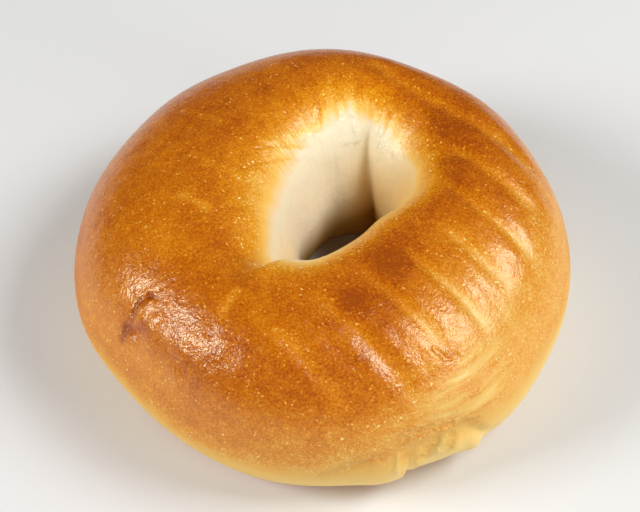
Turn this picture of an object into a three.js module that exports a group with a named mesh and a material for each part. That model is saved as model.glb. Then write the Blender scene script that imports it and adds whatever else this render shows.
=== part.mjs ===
/**
 * A plain boiled and baked bagel, resting on its flat base.
 *
 * The bagel is one solid: a ring of dough whose hole has nearly closed. The surface starts as a
 * torus. Each point of the torus is moved onto a cross section that changes on its way round the
 * ring, and is then pushed in or out by the marks of shaping, boiling and baking.
 *
 * Units are millimetres and degrees. +Z is up, and the origin is on the base, under the middle of
 * the bagel. Angles are counted from +X towards +Y.
 */
import * as THREE from 'three';
import { mergeVertices } from 'three/addons/utils/BufferGeometryUtils.js';

// ---- The ring ----

const OUTER_RADIUS = 55.5;
// Slow waves that take the outer wall off a true circle: lobes round the ring, size and phase.
const OUTER_WAVES = [
  { lobes: 2, size: 1.4, phase: -90 },
  { lobes: 3, size: 0.3, phase: -25 },
  { lobes: 4, size: 0.9, phase: 30 },
  { lobes: 5, size: 0.2, phase: 180 },
  { lobes: 7, size: 0.2, phase: -30 },
];
const CROWN_HEIGHT = 42;
const CROWN_WAVES = [
  { lobes: 1, size: 0.6, phase: 250 },
  { lobes: 2, size: 0.5, phase: 40 },
];

// ---- The cross section ----

const WIDEST_HEIGHT = 17; // where the outer wall reaches furthest out
const THROAT_HEIGHT = 17.5; // where the hole is narrowest
const OUTER_FULLNESS = 2.25; // 2 is an ellipse, more is squarer
const INNER_FULLNESS = 2.0;
const BASE_FULLNESS = 2.8;
const BASE_SAG = 2.4; // how much of the rounded underside has settled flat
const CROWN_OFFSET = 20; // from the throat out to the top of the crown
const NEAR_CROWN = { at: 318, width: 45, size: -6 };
const NEAR_FULLNESS = { at: 300, width: 40, size: 0.3 };

// ---- The hole ----

const HOLE = new THREE.Vector2(4.5, 5);
const HOLE_RADIUS = 10;
const HOLE_WAVES = [
  { lobes: 2, size: 2.6, phase: 100 },
  { lobes: 1, size: 1.5, phase: 60 },
];
const HOLE_BULGES = [
  { at: 246, width: 22, size: 4.2 },
  { at: 285, width: 50, size: 2.3 },
  { at: 318, width: 28, size: -0.7 },
];

// The upright crease where the two ends of the dough rope meet, and the lobes beside it.
const CREASE = { low: 60, high: 72, width: 5, depth: 3 };
const CREASE_LOBES = [
  { turn: -22, width: 16, size: 1.2 },
  { turn: 16, width: 14, size: 0.5 },
];
const CREASE_REACH = { full: 15, none: 26 }; // distance from the middle of the hole

// The fold that leaves the corner of the hole and runs out over the crown.
const FOLD = {
  from: new THREE.Vector2(-4, -11),
  to: new THREE.Vector2(-19, -29.5),
  depth: 7,
  gentleSide: 6.5,
  steepSide: 1.6,
  bow: -2,
  lead: 8,
};

// ---- Marks on the crust ----

// Grooves pressed by the wires of a rack. Each has a reach along the wire, counted from the
// foot of the perpendicular through the origin.
const WIRE_DIRECTION = new THREE.Vector2(0.743, -0.669);
const WIRE_PITCH = 10.4;
const FIRST_WIRE = -34.6;
const WIRE_SPREAD = 2.6; // the dough stretched after it was pressed
const WIRE_GROOVE = { width: 1.6, depth: 0.45, shoulder: 0.15 };
const WIRE_REACHES = [
  [20, 37],
  [20, 45],
  [22, 45],
  [25, 47],
  [27, 43],
  [20, 44],
  [12, 38],
  [-18, 28],
];

// The tuck low on the wall, where the skin is drawn under itself. Its edge runs level and then
// dives under. Below it the dough lies back, beside a flap that ends in an upright step. Angles
// and heights lie on the outer wall.
const TUCK = { from: 287, dive: 303, to: 311, high: 19, low: 11, depth: 1.3, above: 1.4, below: 3.2 };
const STEP = { at: 289, depth: 1.2, reach: 9 };
const WALL_LUMPS = [
  { at: 300.5, height: 14, size: 0.7, across: 2.2, tall: 3.4 },
  { at: 306.5, height: 8.5, size: 1, across: 2.6, tall: 4 },
  { at: 291.6, height: 12, size: 0.5, across: 0.9, tall: 5 },
  { at: 284, height: 8, size: 0.8, across: 5, tall: 6 },
];

const BLISTERS = [
  { centre: new THREE.Vector3(-36, -31.5, 33.5), radius: 4.6, height: 0.9 },
  { centre: new THREE.Vector3(-39.6, -31.4, 30.5), radius: 1.9, height: -1.3 },
  { centre: new THREE.Vector3(-30.6, -40.6, 29.5), radius: 1.6, height: 0.4 },
  { centre: new THREE.Vector3(-28.5, -37.5, 35), radius: 4.2, height: 0.4 },
];

// Soft unevenness of the dough: wavelength-like lengths along X, Y and Z.
const LUMPS = [
  { size: 0.35, x: 9.5, y: 12, z: 14, shift: 0.7 },
  { size: 0.25, x: -6.5, y: 8, z: 11, shift: 2.1 },
];

const CELLS_ROUND = 144;
const CELLS_ACROSS = 41;
const TOP_CROWDING = 0.35; // moves rows of points from the underside to the crown

const CRUST = new THREE.MeshStandardMaterial({ color: 0xc4700f, roughness: 0.42, metalness: 0 });

// ---- Shape helpers ----

const radians = THREE.MathUtils.degToRad;

function ramp(from, to, value) {
  const t = THREE.MathUtils.clamp((value - from) / (to - from), 0, 1);
  return t * t * (3 - 2 * t);
}

function waves(angle, terms) {
  return terms.reduce((sum, t) => sum + t.size * Math.cos(t.lobes * angle - radians(t.phase)), 0);
}

/** Signed difference of two angles in degrees, the first one given in radians. */
function turnFrom(angle, at) {
  return THREE.MathUtils.euclideanModulo(THREE.MathUtils.radToDeg(angle) - at + 180, 360) - 180;
}

/** A smooth swelling round one angle. */
function bulge(angle, { at, width, size }) {
  return size * Math.exp(-((turnFrom(angle, at) / width) ** 2));
}

/** A sharp ridge with a barely rounded edge: 1 at the centre, falling off on both sides. */
function ridge(distance, width) {
  const EDGE = 0.06;
  return Math.exp(Math.sqrt(EDGE) - Math.sqrt((distance / width) ** 2 + EDGE));
}

function signedPower(value, fullness) {
  return Math.abs(value) ** (2 / fullness);
}

// ---- The ring without its marks ----

/** The sizes of the cross section at one angle round the ring. */
function sectionAt(around) {
  const outerRadius = OUTER_RADIUS + waves(around, OUTER_WAVES);
  const holeBulge = HOLE_BULGES.reduce((sum, one) => sum + bulge(around, one), 0);
  const holeRadius = HOLE_RADIUS + waves(around, HOLE_WAVES) + holeBulge;
  const heading = new THREE.Vector2(Math.cos(around), Math.sin(around));
  return {
    outer: heading.clone().multiplyScalar(outerRadius),
    throat: heading.clone().multiplyScalar(holeRadius).add(HOLE),
    crownHeight: CROWN_HEIGHT + waves(around, CROWN_WAVES),
    crownOffset: CROWN_OFFSET + bulge(around, NEAR_CROWN),
    innerFullness: INNER_FULLNESS + bulge(around, NEAR_FULLNESS),
  };
}

/** The point of the ring at one angle round it and one angle round its section. */
function ringPoint(around, across) {
  const section = sectionAt(around);
  const cosine = Math.cos(across);
  const sine = Math.sin(across);
  const outside = cosine >= 0;
  const upperFullness = outside ? OUTER_FULLNESS : section.innerFullness;
  const fullness = sine >= 0 ? upperFullness : BASE_FULLNESS;
  const sideways = signedPower(cosine, fullness);
  const upright = signedPower(sine, fullness);

  const crown = section.crownOffset / section.outer.distanceTo(section.throat);
  const share = outside ? crown + (1 - crown) * sideways : crown * (1 - sideways);
  const plan = section.throat.clone().lerp(section.outer, share);

  const middle = outside ? WIDEST_HEIGHT : THROAT_HEIGHT;
  const above = middle + (section.crownHeight - middle) * upright;
  const below = Math.max(0, middle - (middle + BASE_SAG) * upright);
  return new THREE.Vector3(plan.x, plan.y, sine >= 0 ? above : below);
}

/** Pushes the wall of the hole back along the crease and forward beside it. */
function creaseWall(point) {
  const plan = new THREE.Vector2(point.x, point.y).sub(HOLE);
  const angle = Math.atan2(plan.y, plan.x);
  const at = THREE.MathUtils.lerp(CREASE.low, CREASE.high, ramp(8, 36, point.z));
  const lobes = CREASE_LOBES.reduce(
    (sum, lobe) => sum + bulge(angle, { at: at + lobe.turn, width: lobe.width, size: lobe.size }),
    0,
  );
  const reach = ramp(CREASE_REACH.none, CREASE_REACH.full, plan.length()) * ramp(0, 6, point.z);
  const push = (CREASE.depth * ridge(turnFrom(angle, at), CREASE.width) - lobes) * reach;
  point.x += push * Math.cos(angle);
  point.y += push * Math.sin(angle);
}

/** Sinks the crown along the fold, gently on one side of it and steeply on the other. */
function sinkFold(point) {
  const run = FOLD.to.clone().sub(FOLD.from);
  const heading = run.clone().normalize();
  const plan = new THREE.Vector2(point.x, point.y).sub(FOLD.from);
  const along = plan.dot(heading);
  const progress = THREE.MathUtils.clamp(along / run.length(), 0, 1);
  const aside = plan.x * heading.y - plan.y * heading.x + FOLD.bow * Math.sin(Math.PI * progress);
  const width = aside > 0 ? FOLD.gentleSide : FOLD.steepSide;
  const strength = (1 - ramp(0, 1, progress)) * ramp(-FOLD.lead, 0, along) * ramp(15, 34, point.z);
  point.z -= FOLD.depth * strength * Math.exp(-((aside / width) ** 2));
}

// ---- The marks, each as a height above the plain ring ----

function wireGrooves(point, normal) {
  const plan = new THREE.Vector2(point.x, point.y);
  const along = plan.dot(WIRE_DIRECTION);
  const offset = -plan.cross(WIRE_DIRECTION);
  const upward = ramp(0.35, 0.75, normal.z);
  return WIRE_REACHES.reduce((height, [start, end], index) => {
    const spread = WIRE_SPREAD * Math.sin((Math.PI * index) / (WIRE_REACHES.length - 1));
    const distance = Math.abs(offset - (FIRST_WIRE + WIRE_PITCH * index + spread));
    const strength = upward * ramp(start - 4, start + 4, along) * ramp(end + 5, end - 5, along);
    const groove = WIRE_GROOVE.depth * Math.exp(-((distance / WIRE_GROOVE.width) ** 2));
    const besides = (distance - 2.2 * WIRE_GROOVE.width) / WIRE_GROOVE.width;
    return height + strength * (WIRE_GROOVE.shoulder * Math.exp(-(besides ** 2)) - groove);
  }, 0);
}

/** Signed distance round the outer wall from one direction. */
function wallDistance(point, at) {
  return radians(turnFrom(Math.atan2(point.y, point.x), at)) * OUTER_RADIUS;
}

function wallLump(point, { at, height, size, across, tall }) {
  return size * Math.exp(-((wallDistance(point, at) / across) ** 2) - ((point.z - height) / tall) ** 2);
}

/** How deep a point lies under the edge of the tucked skin. */
function tuckHollow(point) {
  const turn = turnFrom(Math.atan2(point.y, point.x), TUCK.from);
  const span = TUCK.to - TUCK.from;
  const edge = THREE.MathUtils.lerp(TUCK.high, TUCK.low, ramp(TUCK.dive - TUCK.from, span, turn));
  const reach = ramp(-6, 6, turn) * ramp(span + 5, span - 4, turn);
  const under = edge - point.z;
  return TUCK.depth * reach * Math.exp(-((under / (under < 0 ? TUCK.above : TUCK.below)) ** 2));
}

/** How far the wall lies back beside the flap, falling off away from its step. */
function behindStep(point) {
  const beyond = wallDistance(point, STEP.at);
  const fading = Math.exp(-Math.max(beyond, 0) / STEP.reach);
  return STEP.depth * ramp(-0.4, 0.4, beyond) * fading * ramp(TUCK.high + 1, TUCK.high - 5, point.z);
}

function tuckedSkin(point) {
  const onWall = ramp(40, 48, Math.hypot(point.x, point.y));
  const lumps = WALL_LUMPS.reduce((sum, lump) => sum + wallLump(point, lump), 0);
  return onWall * (lumps - tuckHollow(point) - behindStep(point));
}

function blisters(point) {
  return BLISTERS.reduce((sum, { centre, radius, height }) => {
    return sum + height * Math.exp(-point.distanceToSquared(centre) / radius ** 2);
  }, 0);
}

function softLumps(point) {
  return LUMPS.reduce((sum, { size, x, y, z, shift }) => {
    return sum + size * Math.sin(point.x / x + shift) * Math.cos(point.y / y + point.z / z - shift);
  }, 0);
}

// ---- The solid ----

function bagelGeometry() {
  const torus = new THREE.TorusGeometry(2, 1, CELLS_ACROSS, CELLS_ROUND);
  const uv = torus.getAttribute('uv');
  const position = torus.getAttribute('position');
  for (let index = 0; index < position.count; index += 1) {
    const even = 2 * Math.PI * uv.getY(index);
    const across = even + TOP_CROWDING * Math.cos(even);
    const point = ringPoint(2 * Math.PI * uv.getX(index), across);
    creaseWall(point);
    sinkFold(point);
    position.setXYZ(index, point.x, point.y, point.z);
  }
  torus.deleteAttribute('uv');
  torus.deleteAttribute('normal');
  const geometry = mergeVertices(torus);
  geometry.computeVertexNormals();
  pressMarks(geometry);
  standOnBase(geometry);
  return geometry;
}

/** Moves every point along its normal by the height of the marks there. */
function pressMarks(geometry) {
  const position = geometry.getAttribute('position');
  const normals = geometry.getAttribute('normal');
  for (let index = 0; index < position.count; index += 1) {
    const point = new THREE.Vector3().fromBufferAttribute(position, index);
    const normal = new THREE.Vector3().fromBufferAttribute(normals, index);
    const aboveBase = ramp(0, 3, point.z);
    const marks = wireGrooves(point, normal) + tuckedSkin(point) + blisters(point);
    point.addScaledVector(normal, aboveBase * (marks + softLumps(point)));
    position.setXYZ(index, point.x, point.y, Math.max(0, point.z));
  }
}

/** Puts the origin on the base, under the middle of the bagel. */
function standOnBase(geometry) {
  geometry.computeBoundingBox();
  const centre = geometry.boundingBox.getCenter(new THREE.Vector3());
  geometry.translate(-centre.x, -centre.y, -geometry.boundingBox.min.z);
  geometry.computeVertexNormals();
}

const bagel = new THREE.Mesh(bagelGeometry(), CRUST);
bagel.name = 'bagel';

const group = new THREE.Group();
group.add(bagel);

export default group;
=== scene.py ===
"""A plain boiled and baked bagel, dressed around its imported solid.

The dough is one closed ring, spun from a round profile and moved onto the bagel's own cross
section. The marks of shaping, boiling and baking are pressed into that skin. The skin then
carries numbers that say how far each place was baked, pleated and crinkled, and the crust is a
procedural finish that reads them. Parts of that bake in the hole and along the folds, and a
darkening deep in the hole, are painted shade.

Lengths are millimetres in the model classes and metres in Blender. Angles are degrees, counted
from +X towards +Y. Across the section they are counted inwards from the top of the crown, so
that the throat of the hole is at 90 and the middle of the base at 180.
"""

from __future__ import annotations

import logging
import math
from dataclasses import dataclass, field
from enum import Enum
from functools import reduce
from typing import Any, Sequence, Union

import bmesh
import bpy
import numpy as np
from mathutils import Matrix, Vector, noise


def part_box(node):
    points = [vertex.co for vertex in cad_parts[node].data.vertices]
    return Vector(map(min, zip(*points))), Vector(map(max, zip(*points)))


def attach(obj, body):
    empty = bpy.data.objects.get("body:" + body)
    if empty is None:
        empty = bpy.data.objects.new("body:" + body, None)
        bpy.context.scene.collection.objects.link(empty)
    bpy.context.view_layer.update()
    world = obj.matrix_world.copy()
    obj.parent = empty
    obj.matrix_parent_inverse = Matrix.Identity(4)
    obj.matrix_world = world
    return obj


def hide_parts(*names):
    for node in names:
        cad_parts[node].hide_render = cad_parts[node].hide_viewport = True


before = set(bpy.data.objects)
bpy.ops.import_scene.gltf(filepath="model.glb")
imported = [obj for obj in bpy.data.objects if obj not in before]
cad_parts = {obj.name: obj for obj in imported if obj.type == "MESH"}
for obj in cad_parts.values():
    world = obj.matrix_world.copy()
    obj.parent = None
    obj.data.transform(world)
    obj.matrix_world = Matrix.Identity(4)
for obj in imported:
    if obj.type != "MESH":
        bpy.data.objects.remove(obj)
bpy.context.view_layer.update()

MM = 0.001
THROAT = 90.0
BASE = 180.0
log = logging.getLogger("bagel")

Array = np.ndarray
Pair = tuple[float, float]
Triple = tuple[float, float, float]


# ---- Numbers on arrays ----


def ramp(start: float, end: float, value: Array) -> Array:
    """Rise smoothly from 0 at start to 1 at end, or fall where start is the larger."""
    share = np.clip((value - start) / (end - start), 0.0, 1.0)
    return share * share * (3.0 - 2.0 * share)


def turn_from(angle: Array, at: Union[float, Array]) -> Array:
    """Give the signed turn in degrees from one direction in degrees to others in radians."""
    return np.mod(np.degrees(angle) - at + 180.0, 360.0) - 180.0


def direction(points: Array) -> Array:
    """Give each point's direction from the middle of the bagel, in radians."""
    return np.arctan2(points[:, 1], points[:, 0])


def wall_distance(points: Array, at: float, radius: float) -> Array:
    """Give each point's distance round the wall from one direction, positive counterclockwise."""
    return np.radians(turn_from(direction(points), at)) * radius


def bell(distance: Array) -> Array:
    """Give the height of a round bump of height 1 at distances counted in its widths."""
    return np.exp(-(distance**2))


def ridge(distance: Array, width: float) -> Array:
    """Give the height of a sharp ridge with a barely rounded edge."""
    edge = 0.06
    return np.exp(math.sqrt(edge) - np.sqrt((distance / width) ** 2 + edge))


@dataclass(frozen=True)
class Clouds:
    """A soft noise: how wide its largest forms are, its pattern and its number of layers."""

    size: float
    seed: float
    octaves: int

    def over(self, points: Array) -> Array:
        """Sample the noise.

        Args:
            points: Places in millimetres, one row each.

        Returns:
            Values mostly from -1 to 1.
        """
        falloff, step = 1.0, 2.0
        shift = Vector((self.seed, -self.seed, 0.5 * self.seed))
        places = (Vector(point) / self.size + shift for point in points)
        return np.array([noise.fractal(place, falloff, step, self.octaves) for place in places])


@dataclass(frozen=True)
class Wave:
    """A slow wave round the ring: how many lobes, how large, and turned by how much."""

    lobes: int
    size: float
    phase: float

    def at(self, angle: Array) -> Array:
        """Give the wave's height at each angle in radians."""
        return self.size * np.cos(self.lobes * angle - math.radians(self.phase))


@dataclass(frozen=True)
class Bulge:
    """A smooth swelling, or a dent where its size is negative, round one direction."""

    at: float
    width: float
    size: float

    def over(self, angle: Array, shift: Union[float, Array] = 0.0) -> Array:
        """Give its height at each angle in radians, with its direction turned by shift degrees."""
        return self.size * bell(turn_from(angle, self.at + shift) / self.width)


@dataclass(frozen=True)
class Sector:
    """A stretch of the ring round one direction: where it is gone and where it is whole."""

    at: float
    gone: float
    whole: float

    def over(self, angle: Array) -> Array:
        """Give how far the sector covers each angle in radians, from 0 to 1."""
        return ramp(self.gone, self.whole, np.abs(turn_from(angle, self.at)))


@dataclass(frozen=True)
class Band:
    """A stretch of values with two soft ends: one where it rises and one where it falls."""

    rise: Pair
    fall: Pair

    def over(self, value: Array) -> Array:
        """Give how far each value lies in the band, from 0 to 1."""
        return ramp(*self.rise, value) * ramp(*self.fall, value)


@dataclass(frozen=True)
class RingValues:
    """A number that changes round the ring, given in some directions in degrees."""

    stops: Sequence[Pair]

    def over(self, angle: Array) -> Array:
        """Give the number at each angle in radians."""
        turns, values = zip(*self.stops)
        return np.interp(np.mod(np.degrees(angle), 360.0), turns, values, period=360.0)


@dataclass(frozen=True)
class Spot:
    """A round spot of the skin, which rises, sinks or browns by up to its size."""

    centre: Triple
    radius: float
    size: float

    def over(self, points: Array) -> Array:
        """Give what the spot adds at each point."""
        away = np.sum((points - np.array(self.centre)) ** 2, axis=1)
        return self.size * np.exp(-away / self.radius**2)


# ---- The ring of dough ----


@dataclass(frozen=True)
class Crease:
    """The upright crease in the hole where the two ends of the dough rope meet.

    It leans from one direction at the lower of its heights to another at the upper one. The
    dough swells into lobes beside it.
    """

    low: float = 60.0
    high: float = 72.0
    heights: Pair = (8.0, 36.0)
    width: float = 5.0
    depth: float = 3.0
    full_reach: float = 15.0
    no_reach: float = 26.0
    foot: float = 6.0
    lobes: Sequence[Bulge] = (Bulge(-22, 16, 1.2), Bulge(16, 14, 0.5))


@dataclass(frozen=True)
class Fold:
    """The fold that leaves the corner of the hole and runs out over the crown."""

    start: Pair = (-4.0, -11.0)
    end: Pair = (-19.0, -29.5)
    depth: float = 7.0
    gentle_side: float = 6.5
    steep_side: float = 1.6
    bow: float = -2.0
    lead: float = 8.0
    heights: Pair = (15.0, 34.0)


@dataclass
class DoughRing:
    """The ring without its marks: an uneven outer wall, a crown and a nearly closed hole."""

    outer_radius: float = 55.5
    outer_waves: Sequence[Wave] = (
        Wave(2, 1.4, -90),
        Wave(3, 0.3, -25),
        Wave(4, 0.9, 30),
        Wave(5, 0.2, 180),
        Wave(7, 0.2, -30),
    )
    crown_height: float = 42.0
    crown_waves: Sequence[Wave] = (Wave(1, 0.6, 250), Wave(2, 0.5, 40))
    widest_height: float = 17.0
    throat_height: float = 17.5
    outer_fullness: float = 2.25
    inner_fullness: float = 2.0
    base_fullness: float = 2.8
    base_sag: float = 2.4
    crown_offset: float = 20.0
    near_crown: Bulge = Bulge(318, 45, -6)
    near_fullness: Bulge = Bulge(300, 40, 0.3)
    hole: Pair = (4.5, 5.0)
    hole_radius: float = 10.0
    hole_waves: Sequence[Wave] = (Wave(2, 2.6, 100), Wave(1, 1.5, 60))
    hole_bulges: Sequence[Bulge] = (
        Bulge(246, 22, 4.2),
        Bulge(285, 50, 2.3),
        Bulge(318, 28, -0.7),
    )
    crease: Crease = field(default_factory=Crease)
    fold: Fold = field(default_factory=Fold)

    def points(self, around: Array, across: Array) -> Array:
        """Place points of the skin.

        Args:
            around: Angles round the ring, in radians.
            across: Angles round the cross section, in radians, from the outer wall over the crown.

        Returns:
            One row of X, Y and Z for each pair of angles, in millimetres.
        """
        heading = np.column_stack((np.cos(around), np.sin(around)))
        outer_radius = self.outer_radius + sum(w.at(around) for w in self.outer_waves)
        hole_radius = self.hole_radius + sum(w.at(around) for w in self.hole_waves)
        hole_radius = hole_radius + sum(b.over(around) for b in self.hole_bulges)
        outer = heading * outer_radius[:, None]
        throat = heading * hole_radius[:, None] + np.array(self.hole)

        cosine, sine = np.cos(across), np.sin(across)
        outside = cosine >= 0
        inner_fullness = self.inner_fullness + self.near_fullness.over(around)
        upper = np.where(outside, self.outer_fullness, inner_fullness)
        fullness = np.where(sine >= 0, upper, self.base_fullness)
        sideways = np.abs(cosine) ** (2.0 / fullness)
        upright = np.abs(sine) ** (2.0 / fullness)

        crown_offset = self.crown_offset + self.near_crown.over(around)
        crown = crown_offset / np.linalg.norm(outer - throat, axis=1)
        share = np.where(outside, crown + (1 - crown) * sideways, crown * (1 - sideways))
        plan = throat + (outer - throat) * share[:, None]

        top = self.crown_height + sum(w.at(around) for w in self.crown_waves)
        middle = np.where(outside, self.widest_height, self.throat_height)
        above = middle + (top - middle) * upright
        below = np.maximum(0.0, middle - (middle + self.base_sag) * upright)
        points = np.column_stack((plan, np.where(sine >= 0, above, below)))
        self._crease_wall(points)
        self._sink_fold(points)
        return points

    def _crease_wall(self, points: Array) -> None:
        """Push the wall of the hole back along the crease and forward beside it.

        Args:
            points: The ring's points, moved in place.
        """
        crease = self.crease
        plan = points[:, :2] - np.array(self.hole)
        angle, distance = np.arctan2(plan[:, 1], plan[:, 0]), np.hypot(plan[:, 0], plan[:, 1])
        at = crease.low + (crease.high - crease.low) * ramp(*crease.heights, points[:, 2])
        lobes = sum(lobe.over(angle, at) for lobe in crease.lobes)
        reach = ramp(crease.no_reach, crease.full_reach, distance)
        reach = reach * ramp(0, crease.foot, points[:, 2])
        push = (crease.depth * ridge(turn_from(angle, at), crease.width) - lobes) * reach
        points[:, 0] += push * np.cos(angle)
        points[:, 1] += push * np.sin(angle)

    def _sink_fold(self, points: Array) -> None:
        """Sink the crown along the fold, gently on one side of it and steeply on the other.

        Args:
            points: The ring's points, moved in place.
        """
        fold = self.fold
        run = np.array(fold.end) - np.array(fold.start)
        length = float(np.linalg.norm(run))
        heading = run / length
        plan = points[:, :2] - np.array(fold.start)
        along = plan @ heading
        progress = np.clip(along / length, 0.0, 1.0)
        aside = plan[:, 0] * heading[1] - plan[:, 1] * heading[0]
        aside = aside + fold.bow * np.sin(np.pi * progress)
        width = np.where(aside > 0, fold.gentle_side, fold.steep_side)
        strength = (1 - ramp(0, 1, progress)) * ramp(-fold.lead, 0, along)
        strength = strength * ramp(*fold.heights, points[:, 2])
        points[:, 2] -= fold.depth * strength * bell(aside / width)


# ---- The marks on the skin ----


@dataclass(frozen=True)
class WireGrooves:
    """Grooves pressed by the wires of a rack, each with its own reach along the wire.

    The dough rises beside a groove and stays pale within pale_width of its middle.
    """

    direction: Pair = (0.743, -0.669)
    pitch: float = 10.4
    first: float = -34.6
    spread: float = 2.6
    width: float = 1.6
    depth: float = 0.45
    shoulder: float = 0.15
    shoulder_widths: float = 2.2
    pale_width: float = 1.44
    start_fade: float = 4.0
    end_fade: float = 5.0
    reaches: Sequence[Pair] = (
        (20, 37), (20, 45), (22, 45), (25, 47), (27, 43), (20, 44), (12, 38), (-18, 28),
    )

    def lines(self, points: Array) -> list[tuple[Array, Array]]:
        """Measure the skin against each wire.

        Args:
            points: Places on the skin.

        Returns:
            For each wire, the distance of every point from it and how far the wire pressed there.
        """
        heading = np.array(self.direction)
        along = points[:, :2] @ heading
        offset = points[:, 1] * heading[0] - points[:, 0] * heading[1]
        found = []
        for index, (start, end) in enumerate(self.reaches):
            spread = self.spread * math.sin(math.pi * index / (len(self.reaches) - 1))
            distance = np.abs(offset - (self.first + self.pitch * index + spread))
            reach = ramp(start - self.start_fade, start + self.start_fade, along)
            reach = reach * ramp(end + self.end_fade, end - self.end_fade, along)
            found.append((distance, reach))
        return found

    def height(self, points: Array) -> Array:
        """Give the relief of the grooves and of the dough that rose beside them."""
        return sum(reach * self._profile(distance) for distance, reach in self.lines(points))

    def paleness(self, points: Array) -> Array:
        """Give how far each point lies in a groove, where the crust stays pale, from 0 to 1."""
        lines = self.lines(points)
        return reduce(np.maximum, (reach * bell(away / self.pale_width) for away, reach in lines))

    def _profile(self, distance: Array) -> Array:
        """Give a groove's height at distances from its middle."""
        shoulder = self.shoulder * bell(distance / self.width - self.shoulder_widths)
        return shoulder - self.depth * bell(distance / self.width)


@dataclass(frozen=True)
class WallPatch:
    """A rounded mark on the outer wall, placed by its direction and its height."""

    at: float
    height: float
    size: float
    across: float
    tall: float

    def over(self, points: Array, radius: float) -> Array:
        """Give the mark's relief.

        Args:
            points: Places on the skin.
            radius: The wall's mean radius.

        Returns:
            The height at each point.
        """
        aside = wall_distance(points, self.at, radius) / self.across
        rise = (points[:, 2] - self.height) / self.tall
        return self.size * bell(aside) * bell(rise)


@dataclass(frozen=True)
class TuckedSkin:
    """The tuck low on the wall, where the skin is drawn under itself.

    Its edge runs level and then dives under. Below it the dough lies back, beside a flap that
    ends in an upright step. Its reach and its dive are turns in degrees from its start.
    """

    start: float = 287.0
    reach: Band = Band((-6.0, 6.0), (29.0, 20.0))
    dive: Pair = (16.0, 24.0)
    high: float = 19.0
    low: float = 11.0
    lip: float = 1.4
    hollow: float = 1.3
    reach_down: float = 3.2
    step_at: float = 289.0
    step_depth: float = 1.2
    step_reach: float = 9.0
    step_edge: float = 0.4
    step_heights: Pair = (20.0, 14.0)
    wall_from: Pair = (40.0, 48.0)
    lumps: Sequence[WallPatch] = (
        WallPatch(300.5, 14, 0.7, 2.2, 3.4),
        WallPatch(306.5, 8.5, 1.0, 2.6, 4),
        WallPatch(291.6, 12, 0.5, 0.9, 5),
        WallPatch(284, 8, 0.8, 5, 6),
    )

    def hollow_depth(self, points: Array) -> Array:
        """Give how far the skin lies back under the tuck's edge.

        Args:
            points: Places on the skin.

        Returns:
            The depth at each point.
        """
        turn = turn_from(direction(points), self.start)
        edge = self.high + (self.low - self.high) * ramp(*self.dive, turn)
        under = edge - points[:, 2]
        side = np.where(under < 0, self.lip, self.reach_down)
        return self.hollow * self.reach.over(turn) * bell(under / side)

    def behind_step(self, points: Array, radius: float) -> Array:
        """Give how far the wall lies back beside the flap, less and less away from its step.

        Args:
            points: Places on the skin.
            radius: The wall's mean radius.

        Returns:
            The depth at each point.
        """
        beyond = wall_distance(points, self.step_at, radius)
        behind = ramp(-self.step_edge, self.step_edge, beyond)
        behind = behind * np.exp(-np.maximum(beyond, 0.0) / self.step_reach)
        return self.step_depth * behind * ramp(*self.step_heights, points[:, 2])

    def height(self, points: Array, radius: float) -> Array:
        """Give the relief of the whole tuck.

        Args:
            points: Places on the skin.
            radius: The wall's mean radius.

        Returns:
            The height at each point.
        """
        on_wall = ramp(*self.wall_from, np.hypot(points[:, 0], points[:, 1]))
        lumps = sum(lump.over(points, radius) for lump in self.lumps)
        return on_wall * (lumps - self.hollow_depth(points) - self.behind_step(points, radius))


@dataclass(frozen=True)
class SoftLump:
    """One layer of the dough's soft unevenness, with its lengths along X, Y and Z."""

    size: float
    x: float
    y: float
    z: float
    shift: float

    def over(self, points: Array) -> Array:
        """Give the layer's relief.

        Args:
            points: Places on the skin.

        Returns:
            The height at each point.
        """
        x, y, z = points.T
        swell = self.size * np.sin(x / self.x + self.shift)
        return swell * np.cos(y / self.y + z / self.z - self.shift)


@dataclass
class Marks:
    """Everything that stands out of the plain ring or is pressed into it."""

    wires: WireGrooves = field(default_factory=WireGrooves)
    tuck: TuckedSkin = field(default_factory=TuckedSkin)
    blisters: Sequence[Spot] = (
        Spot((-36, -31.5, 33.5), 4.6, 0.9),
        Spot((-39.6, -31.4, 30.5), 1.9, -1.3),
        Spot((-30.6, -40.6, 29.5), 1.6, 0.4),
        Spot((-28.5, -37.5, 35), 4.2, 0.4),
    )
    lumps: Sequence[SoftLump] = (
        SoftLump(0.35, 9.5, 12, 14, 0.7),
        SoftLump(0.25, -6.5, 8, 11, 2.1),
    )
    upright: Pair = (0.35, 0.75)
    base_margin: float = 3.0

    def height(self, points: Array, normals: Array, radius: float) -> Array:
        """Give the relief of all marks along the normals.

        Args:
            points: Places on the plain ring.
            normals: The ring's outward normals there.
            radius: The mean radius of the outer wall.

        Returns:
            How far each point moves outwards.
        """
        total = self.wires.height(points) * self._upward(normals)
        total = total + self.tuck.height(points, radius)
        total = total + sum(blister.over(points) for blister in self.blisters)
        total = total + sum(lump.over(points) for lump in self.lumps)
        return total * ramp(0, self.base_margin, points[:, 2])

    def paleness(self, points: Array, normals: Array) -> Array:
        """Give how far each point lies in a wire's groove, from 0 to 1."""
        return self.wires.paleness(points) * self._upward(normals)

    def _upward(self, normals: Array) -> Array:
        """Give how far the skin faces up, so that a wire could press it, from 0 to 1."""
        return ramp(*self.upright, normals[:, 2])


# ---- Shader arithmetic ----


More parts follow.
